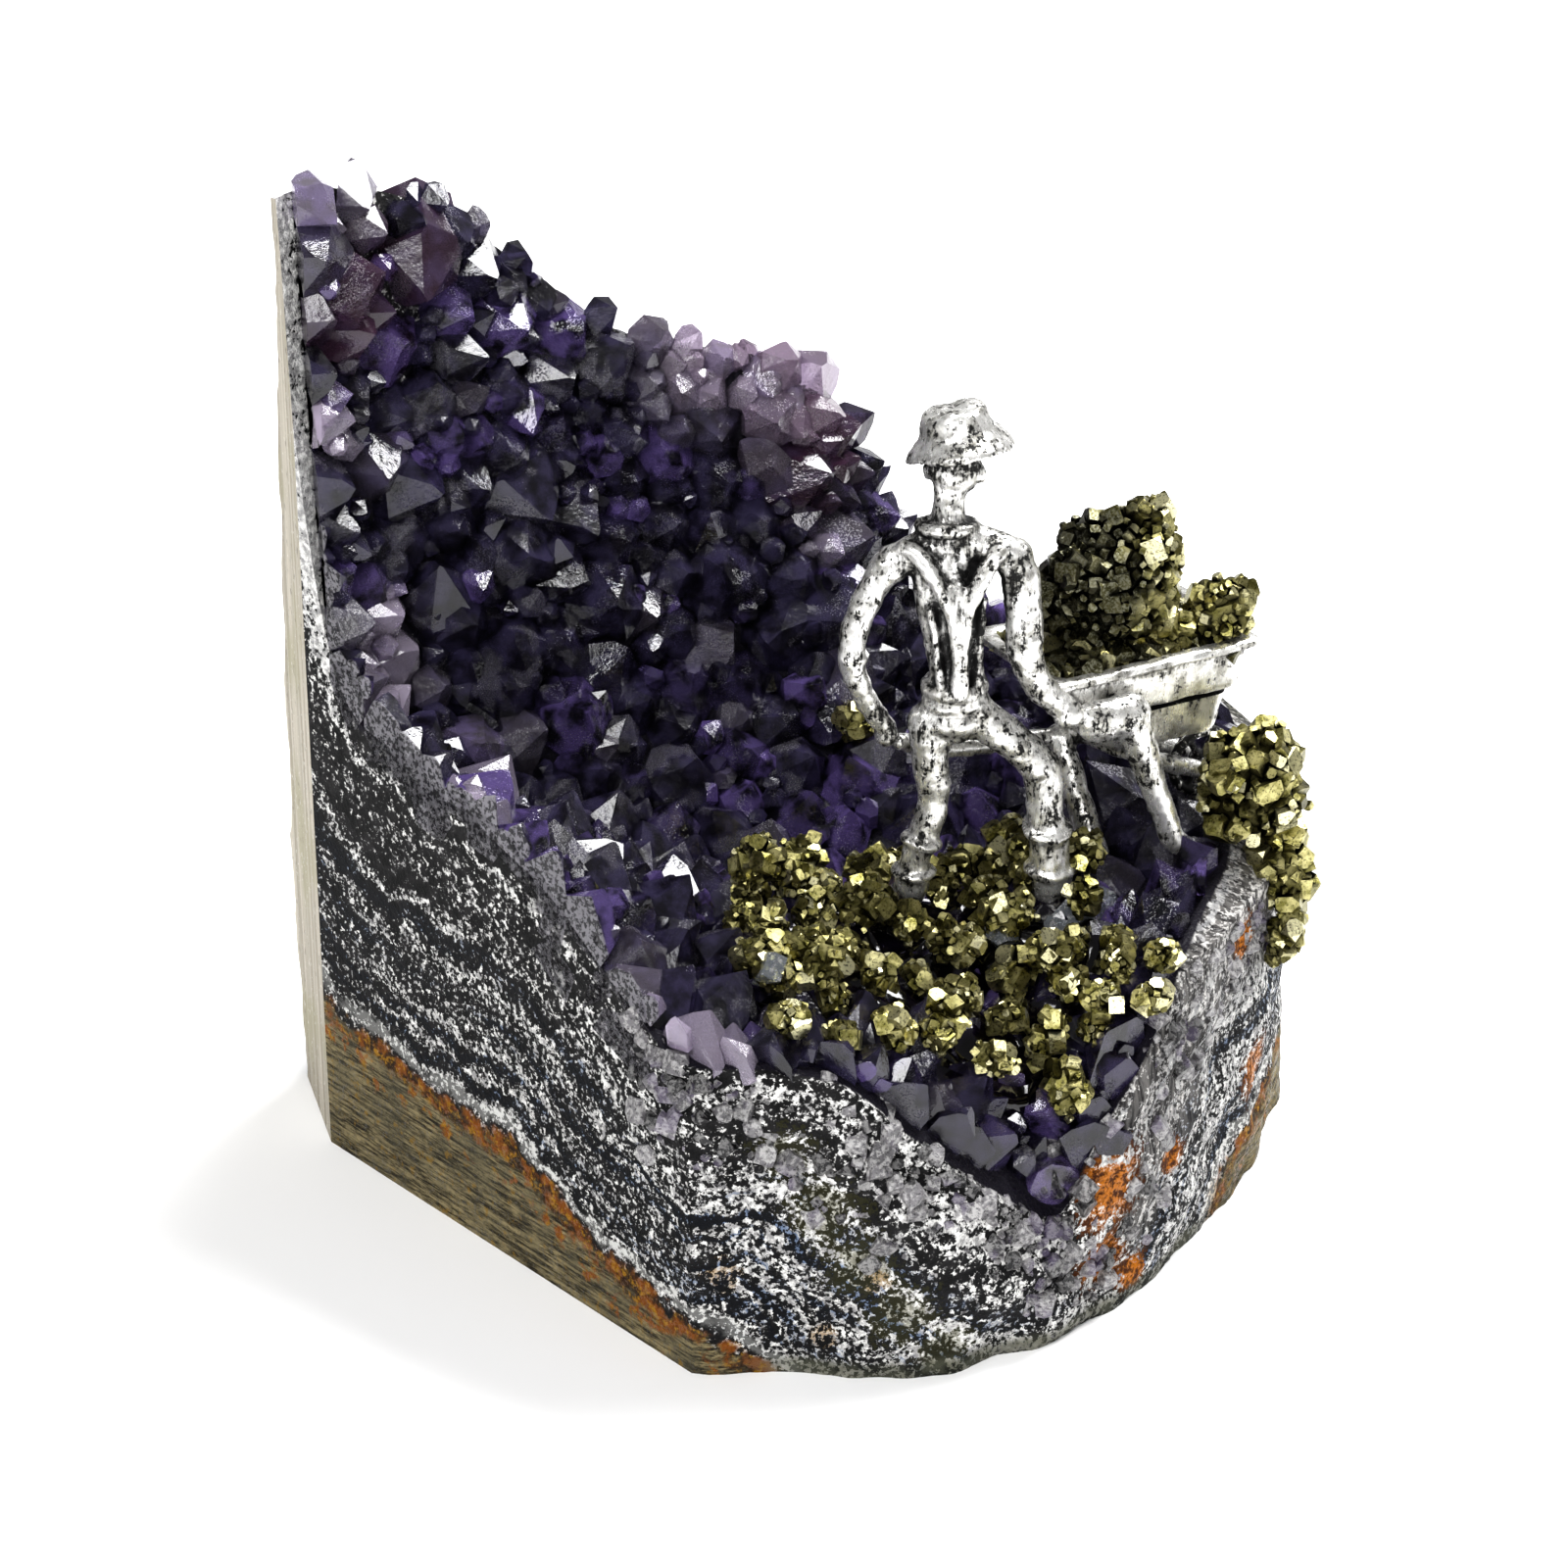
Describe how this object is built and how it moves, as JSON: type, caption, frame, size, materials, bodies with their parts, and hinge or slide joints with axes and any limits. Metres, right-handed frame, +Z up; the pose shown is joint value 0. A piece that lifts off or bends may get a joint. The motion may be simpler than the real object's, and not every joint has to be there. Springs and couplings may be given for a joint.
{
  "type": "amethyst geode section with a pewter miner, a wheelbarrow and pyrite nuggets",
  "caption": "Sawn section of an amethyst geode, with a small pewter miner who wheels pyrite across its ledge of crystals and glued pyrite nuggets.",
  "frame": {"origin": "under the middle of the whole piece, on the sawn base", "axes": "+Z up from the sawn base, -X out of the sawn side face, -Y towards the open front with the figure's back and the broken edge"},
  "size_m": [0.1091, 0.0974, 0.1099],
  "materials": {
    "stone": "sawn and broken basalt and chalcedony, matt",
    "amethyst": "clear to deep violet quartz points, glossy",
    "pewter": "bright cast pewter with black antiquing",
    "pyrite": "pale brassy metal with dark crevices"
  },
  "bodies": {
    "root": {"stone": "stone", "amethyst_crust": "amethyst", "miner": "pewter", "barrow_tray": "pewter", "barrow_frame": "pewter", "barrow_wheel": "pewter", "pyrite_load_chunk": "pyrite", "pyrite_load_crumb_front": "pyrite", "pyrite_load_crumb_near": "pyrite", "pyrite_load_nugget": "pyrite", "pyrite_cluster_cube": "pyrite", "pyrite_cluster_lower": "pyrite", "pyrite_cluster_upper": "pyrite", "pyrite_nugget_01": "pyrite", "pyrite_nugget_02": "pyrite", "pyrite_nugget_03": "pyrite", "pyrite_nugget_04": "pyrite", "pyrite_nugget_05": "pyrite", "pyrite_nugget_06": "pyrite", "pyrite_nugget_07": "pyrite", "pyrite_nugget_08": "pyrite", "pyrite_nugget_09": "pyrite", "pyrite_nugget_10": "pyrite", "pyrite_nugget_11": "pyrite", "pyrite_nugget_12": "pyrite", "pyrite_nugget_13": "pyrite", "pyrite_nugget_14": "pyrite", "pyrite_nugget_15": "pyrite", "pyrite_nugget_16": "pyrite", "pyrite_nugget_17": "pyrite", "pyrite_nugget_18": "pyrite", "pyrite_nugget_19": "pyrite", "pyrite_nugget_20": "pyrite", "pyrite_nugget_21": "pyrite", "pyrite_nugget_22": "pyrite", "pyrite_nugget_23": "pyrite", "pyrite_nugget_24": "pyrite", "pyrite_nugget_25": "pyrite", "pyrite_nugget_26": "pyrite", "pyrite_nugget_27": "pyrite", "pyrite_nugget_28": "pyrite", "pyrite_nugget_29": "pyrite", "pyrite_nugget_30": "pyrite", "pyrite_nugget_31": "pyrite", "pyrite_nugget_32": "pyrite", "pyrite_nugget_33": "pyrite", "pyrite_nugget_34": "pyrite", "pyrite_nugget_35": "pyrite", "pyrite_nugget_36": "pyrite"}
  },
  "joints": []
}
